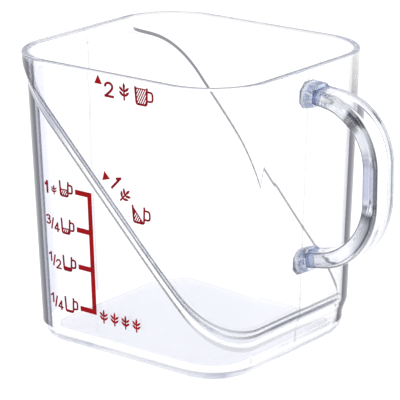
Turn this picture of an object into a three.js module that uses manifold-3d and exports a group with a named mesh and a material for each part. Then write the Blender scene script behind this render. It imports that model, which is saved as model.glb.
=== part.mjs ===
// A clear rice measuring cup: a tapered cup of rounded oblong plan whose wall steps out along a slanting
// ledge, a strap handle bonded to the wall through two faceted collars, and a printed scale of ink films.
// Millimetres, +Z up. The origin is on the cup's axis at its underside, +X points to the handle, and the
// printed face looks along -Y.
import * as THREE from 'three';
import { mergeVertices } from 'three/addons/utils/BufferGeometryUtils.js';
import Module from 'manifold-3d';

const wasm = await Module();
wasm.setup();

// Cup
const cupHeight = 84;
const cornerSpacingX = 44;      // between the centres of the corner arcs, along the handle
const cornerSpacingY = 36.8;    // the same, across the handle
const footRadius = 14.35;       // corner radius of the lower wall, run down to the underside
const wallRise = 0.0363;        // how far the wall leans out for each millimetre of height
const wallThickness = 2.0;
const floorThickness = 2.6;
const footFillet = 4.6;         // round between the underside and the wall
const floorFillet = 3.4;        // round between the floor and the inner wall
const rimRound = 0.5;

// Slanting ledge, where the upper wall stands out from the lower wall
const ledgeStep = 1.2;
const ledgeBand = 3.85;         // height of the sloping band on the outside
const ledgeStart = 10.8;        // middle of the band on the handle's face
const ledgeEndDrop = 3.5;       // middle of the band below the rim, on the far face
const ledgeStartEase = 6.3;     // how far the handle's end of the ledge bends up from its straight run
const ledgeEndEase = 5.5;       // how far its other end bends down
const ledgeStartPower = 4;      // a higher power keeps the bend closer to its end
const ledgeEndPower = 10;
const ledgeBackDrop = 4.5;      // how much lower the ledge runs on the back wall
const shelfBand = 1.7;          // height of the steeper band on the inside
const shelfLift = 1.5;          // middle of the inside's band above the outside's

// Handle, a strap in the plane Y = 0
const gripReach = 63.5;         // middle of the upright grip, from the cup's axis
const upperRootDrop = 6.2;      // middle of the upper arm's root below the rim
const lowerRootHeight = 30;
const upperArmFall = 0.12;      // slope of the upper arm, down towards the grip
const lowerArmRise = 0.21;      // slope of the lower arm, up towards the grip
const upperBendRadius = 16.6;
const lowerBendRadius = 20;
const gripThickness = 4.8;
const gripWidth = 9.7;
const armThickness = 4.3;
const armWidth = 8.2;
const armTaperLength = 14;      // length over which an arm grows to the grip's section
const armStraight = 0.5;        // least straight length of an arm between its collar and its bend
const strapRound = 1.4;

// Collars between the wall and the strap
const collarLength = 4.4;
const collarRootWidth = 8.2;
const collarRootHeight = 7.8;
const collarRootDrop = 0.9;     // middle of the root below the line of the arm
const collarEndWidth = 8.8;
const collarEndHeight = 6.2;
const collarChamfer = 2.1;
const bondGap = 0.1;            // bond line between wall, collar and strap

// Ink films
const filmThickness = 0.12;
const filmGap = 0.05;           // between the wall and the back of a film
const figureStroke = 0.68;      // width of a whole figure's line
const fractionStroke = 0.46;
const iconStroke = 0.55;
const hatchStroke = 0.3;
const hatchPitch = 0.62;
const hatchMargin = 0.06;       // between a slot of the hatching and the line beside it

// Scale on the lower wall
const spineX = -8.35;           // middle of the upright line
const spineWidth = 1.45;
const scaleTopDrop = 4.4;       // top tick below the ledge, at the upright line
const tickPitch = 11.0;
const lastTickPitch = 12.4;
const tickLength = 5.9;
const tickThickness = 1.45;
const iconWidth = 3.6;
const iconHeight = 4.6;
const iconHandle = 1.7;
const iconDrop = 2.2;           // foot of a pictogram below its tick
const iconGap = 0.6;            // between a pictogram and its tick, and its number
const wholeDigitWidth = 1.9;
const wholeDigitHeight = 3.7;
const fractionDigitWidth = 1.95;
const fractionDigitHeight = 2.95;
const fractionSlashWidth = 1.1;
const fractionSlashHeight = 3.4;
const fractionGap = 0.06;
const fractionDrop = 1.75;      // how far the lower digit sits under the upper one
const smallGrainHeight = 2.9;

// Rim row and slanting row on the upper wall
const rimRowDrop = 6.55;        // foot of the rim row below the rim
const rimRowX = -3.65;          // left end of the rim row
const arrowWidth = 2.7;
const arrowHeight = 2.5;
const arrowLift = 3.25;         // foot of the rim arrow above the foot of its row
const arrowGap = 0.75;          // between an arrow and its figure
const bigDigitWidth = 3.3;
const bigDigitHeight = 4.4;
const bigIconWidth = 4.65;
const bigIconHeight = 5.1;
const bigIconHandle = 2.1;
const bigIconDrop = 0.5;        // foot of the rim row's pictogram below the foot of its row
const bigGrainHeight = 4.9;
const rowGap = 1.3;
const slantRowX = -4.2;         // where the slanting row's arrow points at the ledge
const slantArrowClear = 2.75;   // from the ledge to the slanting row's arrow and pictogram
const slantRowClear = 3.75;     // from the ledge to the foot of the slanting row
const slantDigitHeight = 5.0;
const slantIconGap = 0.8;       // between the slanting row's grain mark and its pictogram
const slantTurn = -45;          // degrees, along the ledge

// Row of grain marks under the scale
const grainRowX = -5.0;         // middle of the first mark
const grainRowPitch = 3.95;
const grainRowFoot = 10.6;
const grainMarkHeight = 4.1;
const grainMarkCount = 4;

// Ear of grain, by its height
const earRoom = 0.95;           // room for an ear along its row
const earStemFoot = 0.05;
const earStemTop = 0.72;
const earStemWidth = 0.1;
const earGrainReach = 0.22;     // half the length of a grain
const earGrainSwell = 0.16;
const earGrainSide = 0.19;      // middle of a grain from the stem
const earGrainLevels = [0.36, 0.62];
const earTipLevel = 0.78;
const earGrainTurn = 50;        // degrees

// Pictogram of a cup, by its width and height
const iconLean = 0.06;          // how far its wall leans in at the foot
const iconRound = 0.16;
const iconLoopTop = 0.8;        // heights of its handle's two arms
const iconLoopFoot = 0.3;
const hatchLean = 0.55;         // how far a hatch line leans for each millimetre of its height

const cupClear = 0xe9edf6;
const inkRed = 0xb8141f;

const halfX = cornerSpacingX / 2;
const halfY = cornerSpacingY / 2;

const part = new THREE.Group();

function clearPlastic() {
  return new THREE.MeshStandardMaterial({
    color: cupClear, roughness: 0.04, metalness: 0, transparent: true, opacity: 0.35,
  });
}

function ink() {
  return new THREE.MeshStandardMaterial({ color: inkRed, roughness: 0.45, metalness: 0 });
}

function addMesh(parent, name, geometry, material) {
  const mesh = new THREE.Mesh(geometry, material);
  mesh.name = name;
  parent.add(mesh);
  return mesh;
}

// Closed skin over a row of loops that have the same number of points, with a fan over each end loop.
function skin(loops) {
  const count = loops[0].length;
  const points = loops.flat();
  const ends = [loops[0], loops[loops.length - 1]].map((loop) => {
    const middle = new THREE.Vector3();
    loop.forEach((point) => middle.add(point));
    return middle.divideScalar(count);
  });
  const first = points.length;
  const last = first + 1;
  const index = [];
  for (let column = 0; column < count; column += 1) {
    const next = (column + 1) % count;
    index.push(first, next, column);
    for (let row = 0; row + 1 < loops.length; row += 1) {
      const a = row * count + column;
      const b = row * count + next;
      index.push(a, b, b + count);
      index.push(a, b + count, a + count);
    }
    const top = (loops.length - 1) * count;
    index.push(top + column, top + next, last);
  }
  const geometry = new THREE.BufferGeometry().setFromPoints([...points, ...ends]);
  geometry.setIndex(index);
  geometry.computeVertexNormals();
  return geometry;
}

// Outward reach of the wall's outer face from the corner centres, at one height
function lowerWall(z) {
  return footRadius + wallRise * z;
}

function upperWall(z) {
  return lowerWall(z) + ledgeStep;
}

// Middle of the ledge's band on the printed face, by the place along the handle's direction: a straight run
// with a bend at each end
const ledgeReach = halfX + upperWall(cupHeight / 2);
const ledgeEnd = cupHeight - ledgeEndDrop;

function ledgeLevel(x) {
  const place = THREE.MathUtils.clamp(x / ledgeReach, -1, 1);
  const runFoot = ledgeStart - ledgeStartEase;
  const runTop = ledgeEnd + ledgeEndEase;
  const run = THREE.MathUtils.mapLinear(place, 1, -1, runFoot, runTop);
  const startBend = ledgeStartEase * Math.max(place, 0) ** ledgeStartPower;
  const endBend = ledgeEndEase * Math.max(-place, 0) ** ledgeEndPower;
  return run + startBend - endBend;
}

// Columns of the cup's plan: a corner centre and the direction in which the wall reaches out from it
function planColumns() {
  const cornerSteps = 8;
  const faceSteps = 8;
  const columns = [];
  for (let corner = 0; corner < 4; corner += 1) {
    const sideX = corner === 0 || corner === 3 ? 1 : -1;
    const sideY = corner < 2 ? 1 : -1;
    for (let step = 0; step <= cornerSteps; step += 1) {
      const turn = ((corner + step / cornerSteps) * Math.PI) / 2;
      columns.push({ x: sideX * halfX, y: sideY * halfY, outX: Math.cos(turn), outY: Math.sin(turn) });
    }
    if (corner % 2 === 0) {
      for (let step = 1; step < faceSteps; step += 1) {
        const x = sideX * halfX * (1 - (2 * step) / faceSteps);
        columns.push({ x, y: sideY * halfY, outX: 0, outY: sideY });
      }
    }
  }
  return columns;
}

// Wall profile of one column, as [reach, height], from the underside up the outside and down the inside
function wallProfile(column) {
  const filletSteps = 5;
  const ledgeSteps = 6;
  const rimSteps = 3;
  const outside = column.x + column.outX * upperWall(cupHeight / 2);
  const behind = Math.max(column.outY, 0);
  const level = ledgeLevel(outside) - ledgeBackDrop * behind * (2 - behind);
  const profile = [];
  for (let step = 0; step <= filletSteps; step += 1) {
    const turn = (step / filletSteps) * (Math.PI / 2);
    const z = footFillet * (1 - Math.cos(turn));
    profile.push([lowerWall(z) - footFillet * (1 - Math.sin(turn)), z]);
  }
  const band = (step, inset, middle, height) => {
    const share = step / ledgeSteps;
    const z = middle + (share - 0.5) * height;
    return [lowerWall(z) + ledgeStep * THREE.MathUtils.smoothstep(share, 0, 1) - inset, z];
  };
  for (let step = 0; step <= ledgeSteps; step += 1) profile.push(band(step, 0, level, ledgeBand));
  const rimOuter = upperWall(cupHeight) - rimRound;
  const rimInner = upperWall(cupHeight) - wallThickness + rimRound;
  for (let step = 0; step <= rimSteps; step += 1) {
    const turn = (step / rimSteps) * (Math.PI / 2);
    profile.push([rimOuter + rimRound * Math.cos(turn), cupHeight - rimRound * (1 - Math.sin(turn))]);
  }
  for (let step = 0; step <= rimSteps; step += 1) {
    const turn = (step / rimSteps) * (Math.PI / 2);
    profile.push([rimInner - rimRound * Math.sin(turn), cupHeight - rimRound * (1 - Math.cos(turn))]);
  }
  for (let step = ledgeSteps; step >= 0; step -= 1) {
    profile.push(band(step, wallThickness, level + shelfLift, shelfBand));
  }
  for (let step = filletSteps; step >= 0; step -= 1) {
    const turn = (step / filletSteps) * (Math.PI / 2);
    const z = floorThickness + floorFillet * (1 - Math.cos(turn));
    profile.push([lowerWall(z) - wallThickness - floorFillet * (1 - Math.sin(turn)), z]);
  }
  return profile;
}

function cupGeometry() {
  const columns = planColumns();
  const profiles = columns.map(wallProfile);
  const loops = profiles[0].map((_, row) => columns.map((column, place) => {
    const [reach, z] = profiles[place][row];
    return new THREE.Vector3(column.x + column.outX * reach, column.y + column.outY * reach, z);
  }));
  return skin(loops);
}

// Place of the handle face's outer surface at one height, above the ledge
function handleFace(z) {
  return halfX + upperWall(z);
}

// An arm starts on the wall at its root and leaves at its slope.
const upperRootHeight = cupHeight - upperRootDrop;
const upperArm = { slope: -upperArmFall, rootX: handleFace(upperRootHeight), rootZ: upperRootHeight };
const lowerArm = { slope: lowerArmRise, rootX: handleFace(lowerRootHeight), rootZ: lowerRootHeight };

function armHeight(arm, x) {
  return arm.rootZ + arm.slope * (x - arm.rootX);
}

// Frame on an arm at a distance from the wall: a point, the way along the arm and the way across it
function armFrame(arm, distance) {
  const along = new THREE.Vector3(1, 0, arm.slope).normalize();
  const point = new THREE.Vector3(arm.rootX, 0, arm.rootZ).addScaledVector(along, distance);
  return { point, across: new THREE.Vector3(-along.z, 0, along.x) };
}

const sideways = new THREE.Vector3(0, 1, 0);

// Eight-sided loop in a frame, with its corners cut
function collarLoop(frame, width, height) {
  const across = [
    [width / 2, height / 2 - collarChamfer], [width / 2 - collarChamfer, height / 2],
    [collarChamfer - width / 2, height / 2], [-width / 2, height / 2 - collarChamfer],
    [-width / 2, collarChamfer - height / 2], [collarChamfer - width / 2, -height / 2],
    [width / 2 - collarChamfer, -height / 2], [width / 2, collarChamfer - height / 2],
  ];
  return across.map(([y, up]) => frame.point.clone()
    .addScaledVector(sideways, y).addScaledVector(frame.across, up));
}

// The collar's root follows the lean of the wall, and its end is square to the arm.
function collarGeometry(arm) {
  const rootFrame = armFrame(arm, 0);
  rootFrame.point.z -= collarRootDrop;
  const root = collarLoop(rootFrame, collarRootWidth, collarRootHeight);
  root.forEach((point) => point.setX(handleFace(point.z) + bondGap));
  const end = collarLoop(armFrame(arm, collarLength), collarEndWidth, collarEndHeight);
  return skin([root, end]);
}

// Centreline of the strap in its own plane, from the upper collar round to the lower one
function strapPath() {
  const start = armFrame(upperArm, collarLength + bondGap).point;
  const finish = armFrame(lowerArm, collarLength + bondGap).point;
  const upperTurn = Math.atan(upperArm.slope);
  const lowerTurn = Math.atan(lowerArm.slope);
  const upperRoom = (gripReach - start.x - armStraight) / (1 + Math.sin(upperTurn));
  const lowerRoom = (gripReach - finish.x - armStraight) / (1 - Math.sin(lowerTurn));
  const upperBend = Math.min(upperBendRadius, upperRoom);
  const lowerBend = Math.min(lowerBendRadius, lowerRoom);
  const upperX = gripReach - upperBend;
  const lowerX = gripReach - lowerBend;
  const bendX = upperX - upperBend * Math.sin(upperTurn);
  const bendZ = armHeight(upperArm, bendX);
  const upperZ = bendZ - upperBend * Math.cos(upperTurn);
  const lowerZ = armHeight(lowerArm, lowerX + lowerBend * Math.sin(lowerTurn))
    + lowerBend * Math.cos(lowerTurn);
  const path = new THREE.Path();
  path.moveTo(start.x, start.z);
  path.lineTo(bendX, bendZ);
  path.absarc(upperX, upperZ, upperBend, Math.PI / 2 + upperTurn, 0, true);
  path.absarc(lowerX, lowerZ, lowerBend, 0, lowerTurn - Math.PI / 2, true);
  path.lineTo(finish.x, finish.z);
  return path;
}

// Rounded oblong section of the strap, as [across the strap's thickness, across its width]
function strapSection(thickness, width) {
  const cornerSteps = 2;
  const section = [];
  for (let corner = 0; corner < 4; corner += 1) {
    const sideX = corner === 0 || corner === 3 ? 1 : -1;
    const sideY = corner < 2 ? 1 : -1;
    for (let step = 0; step <= cornerSteps; step += 1) {
      const turn = ((corner + step / cornerSteps) * Math.PI) / 2;
      section.push([
        sideX * (thickness / 2 - strapRound) + strapRound * Math.cos(turn),
        sideY * (width / 2 - strapRound) + strapRound * Math.sin(turn),
      ]);
    }
  }
  return section;
}

function strapGeometry() {
  const steps = 44;
  const path = strapPath();
  const length = path.getLength();
  const loops = [];
  for (let step = 0; step <= steps; step += 1) {
    const share = step / steps;
    const point = path.getPointAt(share);
    const way = path.getTangentAt(share);
    const fromEnd = length * Math.min(share, 1 - share);
    const grown = THREE.MathUtils.smoothstep(fromEnd, 0, armTaperLength);
    const section = strapSection(
      THREE.MathUtils.lerp(armThickness, gripThickness, grown),
      THREE.MathUtils.lerp(armWidth, gripWidth, grown),
    );
    loops.push(section.map(([out, side]) => new THREE.Vector3(
      point.x - out * way.y, -side, point.y + out * way.x,
    )));
  }
  return skin(loops);
}

addMesh(part, 'cup_body', cupGeometry(), clearPlastic());
addMesh(part, 'upper_handle_collar', collarGeometry(upperArm), clearPlastic());
addMesh(part, 'lower_handle_collar', collarGeometry(lowerArm), clearPlastic());
addMesh(part, 'handle_grip', strapGeometry(), clearPlastic());

// Wraps a film onto the printed wall: X runs along the face and round its corners, Y up it and Z out of it.
function ontoWall(geometry, wallReach) {
  const place = geometry.attributes.position;
  for (let point = 0; point < place.count; point += 1) {
    const z = place.getY(point);
    const flatX = THREE.MathUtils.clamp(place.getX(point), -halfX, halfX);
    const turn = (place.getX(point) - flatX) / wallReach(z);
    const reach = wallReach(z) + filmGap + place.getZ(point);
    place.setXYZ(point, flatX + reach * Math.sin(turn), -halfY - reach * Math.cos(turn), z);
  }
  return geometry;
}

function toSolid(geometry) {
  geometry.deleteAttribute('normal');
  geometry.deleteAttribute('uv');
  const merged = mergeVertices(geometry, 1e-5);
  return new wasm.Manifold(new wasm.Mesh({
    numProp: 3,
    vertProperties: new Float32Array(merged.attributes.position.array),
    triVerts: new Uint32Array(merged.index.array),
  }));
}

function toGeometry(solid) {
  const mesh = solid.getMesh();
  const geometry = new THREE.BufferGeometry();
  geometry.setAttribute('position', new THREE.Float32BufferAttribute(mesh.vertProperties, 3));
  geometry.setIndex(new THREE.Uint32BufferAttribute(mesh.triVerts, 1));
  geometry.computeVertexNormals();
  return geometry;
}

function prism(shape, foot, depth) {
  const geometry = new THREE.ExtrudeGeometry(shape, { depth, bevelEnabled: false, curveSegments: 4 });
  return toSolid(geometry.translate(0, 0, foot));
}

function film(shape) {
  return prism(shape, 0, filmThickness);
}

function joinFilms(shapes) {
  return shapes.map(film).reduce((whole, piece) => whole.add(piece));
}

// Outline of a drawn line: its last end is square and stands out by half its width, unless it is plain.
function strokeShape(points, width, endCap = 1) {
  const left = [];
  const right = [];
  const final = points.length - 1;
  points.forEach((point, place) => {
    const before = points[Math.max(place - 1, 0)];
    const after = points[Math.min(place + 1, final)];
    const wayIn = point.clone().sub(before).normalize();
    const wayOut = after.clone().sub(point).normalize();
    const way = wayIn.add(wayOut).normalize();
    const reach = width / 2;
    const side = new THREE.Vector2(-way.y, way.x).multiplyScalar(reach);
    const cap = (place === final ? endCap * reach : 0) - (place === 0 ? reach : 0);
    const middle = point.clone().addScaledVector(way, cap);
    left.push(middle.clone().add(side));
    right.unshift(middle.clone().sub(side));
  });
  return new THREE.Shape([...left, ...right]);
}

// A drawn mark fills a box: unit points are spread over the box less the width of the line.
function fitPoints(points, width, height, stroke) {
  const margin = stroke / 2;
  return points.map((point) => new THREE.Vector2(
    margin + point.x * (width - stroke), margin + point.y * (height - stroke),
  ));
}

function polyline(...pairs) {
  return pairs.map(([x, y]) => new THREE.Vector2(x, y));
}

function pathPoints(draw) {
  const path = new THREE.Path();
  draw(path);
  return path.getPoints(7);
}

const degree = Math.PI / 180;

// Strokes of each figure in a unit box: the first is drawn whole, and the others end on one another.
const digitStrokes = {
  1: [polyline([0.8, 0], [0.8, 1]), polyline([0.25, 0.76], [0.8, 1])],
  2: [
    polyline([1, 0], [0, 0]),
    pathPoints((path) => {
      path.absellipse(0.48, 0.72, 0.48, 0.28, 170 * degree, -30 * degree, true);
      path.quadraticCurveTo(0.78, 0.42, 0, 0);
    }),
  ],
  3: [
    pathPoints((path) => path.absellipse(0.46, 0.77, 0.44, 0.23, 155 * degree, -90 * degree, true)),
    pathPoints((path) => path.absellipse(0.46, 0.27, 0.54, 0.27, 90 * degree, -155 * degree, true)),
  ],
  4: [polyline([0.72, 0], [0.72, 1]), polyline([1, 0.28], [0, 0.28]), polyline([0.04, 0.34], [0.72, 1])],
};

const slashStrokes = [polyline([0, 0], [1, 1])];

function strokeSolid(strokes, width, height, stroke) {
  return joinFilms(strokes.map((points, place) => {
    const endCap = place === 0 ? 1 : 0;
    return strokeShape(fitPoints(points, width, height, stroke), stroke, endCap);
  }));
}

// Part of a convex outline on the side of a line that its inward normal points to
function clipOutline(outline, foot, inward) {
  const depth = (point) => point.clone().sub(foot).dot(inward);
  return outline.flatMap((point, place) => {
    const next = outline[(place + 1) % outline.length];
    const here = depth(point);
    const there = depth(next);
    const kept = here >= 0 ? [point] : [];
    if (here * there < 0) kept.push(point.clone().lerp(next, here / (here - there)));
    return kept;
  });
}

// Fill of a pictogram: a plate with slanting slots, so that a line of hatching stands between two slots.
// The outline runs anticlockwise along the pictogram's wall, and its last edge is the free surface.
function hatchedFill(outline) {
  const window = outline.reduce((kept, from, place) => {
    const isFree = place === outline.length - 1;
    const way = outline[(place + 1) % outline.length].clone().sub(from).normalize();
    const inward = new THREE.Vector2(-way.y, way.x);
    const margin = isFree ? hatchStroke : iconStroke / 2 + hatchMargin;
    return clipOutline(kept, from.clone().addScaledVector(inward, margin), inward);
  }, outline);
  const across = new THREE.Vector2(1, -hatchLean).normalize();
  const reaches = window.map((point) => point.dot(across));
  const last = Math.max(...reaches);
  let plate = film(new THREE.Shape(outline));
  for (let reach = Math.min(...reaches) - hatchPitch / 2; reach < last; reach += hatchPitch) {
    const near = across.clone().multiplyScalar(reach);
    const far = across.clone().multiplyScalar(reach + hatchPitch - hatchStroke);
    const slot = clipOutline(clipOutline(window, near, across), far, across.clone().negate());
    if (Math.abs(THREE.ShapeUtils.area(slot)) > hatchPitch * hatchStroke) {
      plate = plate.subtract(prism(new THREE.Shape(slot), -filmThickness, 3 * filmThickness));
    }
  }
  return plate;
}

// Pictogram of a cup with a handle: the fill is a list of unit points inside its wall
function cupIconSolid(width, height, handle, fill) {
  const wall = pathPoints((path) => {
    path.moveTo(0, 1);
    path.lineTo(iconLean, iconRound);
    path.quadraticCurveTo(iconLean, 0, iconLean + iconRound, 0);
    path.lineTo(1 - iconLean - iconRound, 0);
    path.quadraticCurveTo(1 - iconLean, 0, 1 - iconLean, iconRound);
    path.lineTo(1, 1);
  });
  const margin = iconStroke / 2;
  const right = width - margin;
  const end = right + handle - margin;
  const bend = (right + end) / 2;
  const top = iconLoopTop * height;
  const foot = iconLoopFoot * height;
  const loop = pathPoints((path) => {
    path.moveTo(right + margin / 2, top);
    path.lineTo(bend, top);
    path.quadraticCurveTo(end, top, end, top - iconRound * height);
    path.lineTo(end, foot + iconRound * height);
    path.quadraticCurveTo(end, foot, bend, foot);
    path.lineTo(right, foot);
  });
  const fit = (points) => fitPoints(points, width, height, iconStroke);
  const lines = joinFilms([strokeShape(fit(wall), iconStroke), strokeShape(loop, iconStroke)]);
  return lines.add(hatchedFill(fit(fill)));
}

function levelFill(level) {
  return polyline([0, level], [iconLean, 0], [1 - iconLean, 0], [1, level]);
}

const slantFill = polyline([0, 1], [iconLean, 0], [1 - iconLean, 0]);

// Ear of grain: a stem with pointed grains on both sides and one at its tip
function grainShape(x, y, height, turn) {
  const origin = new THREE.Vector2();
  const tip = new THREE.Vector2(0, earGrainReach * height).rotateAround(origin, turn);
  const swell = new THREE.Vector2(earGrainSwell * height, 0).rotateAround(origin, turn);
  const shape = new THREE.Shape();
  shape.moveTo(x - tip.x, y - tip.y);
  shape.quadraticCurveTo(x + swell.x, y + swell.y, x + tip.x, y + tip.y);
  shape.quadraticCurveTo(x - swell.x, y - swell.y, x - tip.x, y - tip.y);
  return shape;
}

function earSolid(height) {
  const stem = polyline([0, earStemFoot * height], [0, earStemTop * height]);
  const shapes = [strokeShape(stem, earStemWidth * height)];
  earGrainLevels.forEach((level) => [-1, 1].forEach((side) => {
    const turn = -side * earGrainTurn * degree;
    shapes.push(grainShape(side * earGrainSide * height, level * height, height, turn));
  }));
  shapes.push(grainShape(0, earTipLevel * height, height, 0));
  return joinFilms(shapes);
}

function arrowSolid() {
  const outline = polyline([-arrowWidth / 2, 0], [arrowWidth / 2, 0], [0, arrowHeight]);
  return film(new THREE.Shape(outline));
}

function addMark(name, solid, wallReach, x, z, turn = 0) {
  const geometry = toGeometry(solid).rotateZ(turn).translate(x, z, 0);
  addMesh(part, name, ontoWall(geometry, wallReach), ink());
}

// Bracket: the upright line and its four ticks, as one film
const topTick = ledgeLevel(spineX) - ledgeBand / 2 - scaleTopDrop;
const tickLevels = [topTick, topTick - tickPitch, topTick - 2 * tickPitch,
  topTick - 2 * tickPitch - lastTickPitch];
const tickEnd = spineX + spineWidth / 2 - tickLength;

function bracketSolid() {
  const lines = tickLevels.map((level) => strokeShape(
    polyline([tickEnd + tickThickness / 2, level], [spineX + (spineWidth - tickThickness) / 2, level]),
    tickThickness,
  ));
  lines.push(strokeShape(polyline([spineX, tickLevels[0]], [spineX, tickLevels[3]]), spineWidth));
  return joinFilms(lines);
}

addMark('scale_bracket', bracketSolid(), lowerWall, 0, 0);

// Rows of the scale: a pictogram left of each tick, and its number left of that
const iconX = tickEnd - iconGap - iconHandle - iconWidth;
const numberEnd = iconX - iconGap;
const rowNames = ['one', 'three_quarter', 'half', 'quarter'];
const rowFeet = tickLevels.map((level) => level - iconDrop);

rowNames.forEach((name, row) => {
  const icon = cupIconSolid(iconWidth, iconHeight, iconHandle, levelFill((4 - row) / 8));
  addMark(`${name}_cup_icon`, icon, lowerWall, iconX, rowFeet[row]);
});

function addFraction(row, upper, lower) {
  const name = rowNames[row];
  const foot = rowFeet[row];
  const lowerX = numberEnd - fractionDigitWidth;
  const slashX = lowerX - fractionGap - fractionSlashWidth;
  const upperX = slashX - fractionGap - fractionDigitWidth;
  const slashFoot = foot + (fractionDigitHeight + fractionDrop - fractionSlashHeight) / 2;
  const digit = (figure) => strokeSolid(
    digitStrokes[figure], fractionDigitWidth, fractionDigitHeight, fractionStroke,
  );
  const slash = strokeSolid(slashStrokes, fractionSlashWidth, fractionSlashHeight, fractionStroke);
  addMark(`${name}_upper_digit`, digit(upper), lowerWall, upperX, foot + fractionDrop);
  addMark(`${name}_slash`, slash, lowerWall, slashX, slashFoot);
  addMark(`${name}_lower_digit`, digit(lower), lowerWall, lowerX, foot);
}

const smallGrainReach = (earRoom * smallGrainHeight) / 2;
const smallGrainX = numberEnd - smallGrainReach;
const wholeDigitX = smallGrainX - smallGrainReach - iconGap - wholeDigitWidth;
const wholeDigit = strokeSolid(digitStrokes[1], wholeDigitWidth, wholeDigitHeight, figureStroke);
addMark('one_digit', wholeDigit, lowerWall, wholeDigitX, rowFeet[0]);
addMark('one_grain_mark', earSolid(smallGrainHeight), lowerWall, smallGrainX, rowFeet[0]);
addFraction(1, 3, 4);
addFraction(2, 1, 2);
addFraction(3, 1, 4);

// Rim row: an arrow to the rim, a figure, a grain mark and a full pictogram
const bigGrainReach = (earRoom * bigGrainHeight) / 2;
const rimFoot = cupHeight - rimRowDrop;
const rimDigitX = rimRowX + arrowWidth + arrowGap;
const rimGrainX = rimDigitX + bigDigitWidth + rowGap + bigGrainReach;
const rimIconX = rimGrainX + bigGrainReach + rowGap;
const rimDigit = strokeSolid(digitStrokes[2], bigDigitWidth, bigDigitHeight, figureStroke);
const rimIcon = cupIconSolid(bigIconWidth, bigIconHeight, bigIconHandle, levelFill(1));
addMark('rim_arrow', arrowSolid(), upperWall, rimRowX + arrowWidth / 2, rimFoot + arrowLift);
addMark('rim_digit', rimDigit, upperWall, rimDigitX, rimFoot);
addMark('rim_grain_mark', earSolid(bigGrainHeight), upperWall, rimGrainX, rimFoot);
addMark('rim_cup_icon', rimIcon, upperWall, rimIconX, rimFoot - bigIconDrop);

// Slanting row, set out along the ledge from its arrow, with its pictogram upright
const slant = slantTurn * degree;
const slantOrigin = new THREE.Vector2(slantRowX, ledgeLevel(slantRowX) + ledgeBand / 2);

function slantPoint(along, up) {
  return new THREE.Vector2(along, up).rotateAround(new THREE.Vector2(), slant).add(slantOrigin);
}

function addSlantMark(name, solid, along, up, turn) {
  const point = slantPoint(along, up);
  addMark(name, solid, upperWall, point.x, point.y, turn);
}

const slantDigitX = arrowWidth / 2 + arrowGap;
const slantGrainX = slantDigitX + wholeDigitWidth + rowGap + bigGrainReach;
const slantIconX = slantGrainX + bigGrainReach + slantIconGap + bigIconHeight * Math.sin(-slant);
const slantDigit = strokeSolid(digitStrokes[1], wholeDigitWidth, slantDigitHeight, figureStroke);
const slantIcon = cupIconSolid(bigIconWidth, bigIconHeight, bigIconHandle, slantFill);
addSlantMark('ledge_arrow', arrowSolid(), 0, slantArrowClear + arrowHeight, slant + Math.PI);
addSlantMark('ledge_digit', slantDigit, slantDigitX, slantRowClear, slant);
addSlantMark('ledge_grain_mark', earSolid(bigGrainHeight), slantGrainX, slantRowClear, slant);
addSlantMark('ledge_cup_icon', slantIcon, slantIconX, slantArrowClear, 0);

// Row of grain marks
for (let count = 0; count < grainMarkCount; count += 1) {
  const x = grainRowX + count * grainRowPitch;
  addMark(`grain_mark_${count + 1}`, earSolid(grainMarkHeight), lowerWall, x, grainRowFoot);
}

export default part;
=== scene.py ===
"""Looks of a clear rice measuring cup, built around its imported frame.

The cup, its collars and its strap handle are modelled again with finer rounds, and the ink films of the frame
get an ink finish. Sizes are in millimetres in the classes and in metres in the meshes.
"""
import logging
import math
from collections.abc import Callable
from dataclasses import dataclass
from enum import Enum
from functools import lru_cache
from typing import NamedTuple

import bmesh
import bpy
from mathutils import Matrix, Vector


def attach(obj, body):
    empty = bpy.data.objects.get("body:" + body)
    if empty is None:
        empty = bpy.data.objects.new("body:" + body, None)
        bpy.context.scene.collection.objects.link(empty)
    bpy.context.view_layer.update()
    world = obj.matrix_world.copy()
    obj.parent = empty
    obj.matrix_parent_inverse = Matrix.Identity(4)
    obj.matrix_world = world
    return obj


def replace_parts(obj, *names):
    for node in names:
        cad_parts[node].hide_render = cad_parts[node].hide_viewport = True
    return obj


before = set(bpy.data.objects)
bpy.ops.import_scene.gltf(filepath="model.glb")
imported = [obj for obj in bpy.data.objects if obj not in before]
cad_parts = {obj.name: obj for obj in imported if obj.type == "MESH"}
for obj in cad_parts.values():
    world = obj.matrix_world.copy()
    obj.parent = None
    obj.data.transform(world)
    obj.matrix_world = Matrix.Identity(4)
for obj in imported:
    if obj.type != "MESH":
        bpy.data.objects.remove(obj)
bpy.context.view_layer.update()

MM = 0.001
BODY = "root"
log = logging.getLogger("rice_cup")

# Vertex attributes that the clear finishes read: shares of painted dark lines along edges and the mould's
# seam, of painted shade where a wall is seen at a slant, and of a painted cool reflection
EDGE_SHADE = "edge_shade"
SLANT_SHADE = "slant_shade"
COOL_REFLECTION = "cool_reflection"

# Angles of a rounded edge, and steps of a rounded corner between two bands
QUARTER_STEPS = 10
QUARTER_TURN = [math.pi / 2 * step / QUARTER_STEPS for step in range(QUARTER_STEPS + 1)]
CORNER_STEPS = 5

# How sharply a column counts as one of the back wall, the far wall or the near corner
BACK_TURN = 0.12
FAR_POWER = 6
NEAR_POWER = 8

COLLAR_SIDES = 8
SAME_PLACE = 1e-9

Colour = tuple[float, float, float]
Span = tuple[float, float]


class Paint(NamedTuple):
    """Shares of the painted shades of a clear moulding at a point.

    The line is a painted dark edge, the turn painted shade on a slanting wall, and the cool share a painted
    cool reflection.
    """

    line: float = 0.0
    turn: float = 0.0
    cool: float = 0.0


# Gives a point's place and painted shades from its centre and outward way
Put = Callable[[Vector, Vector], tuple[Vector, Paint]]


class Spot(NamedTuple):
    """Point of a wall's profile, with its painted shades, and whether the mould's seam crosses it."""

    reach: float
    z: float
    paint: Paint = Paint()
    seamed: bool = False


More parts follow.
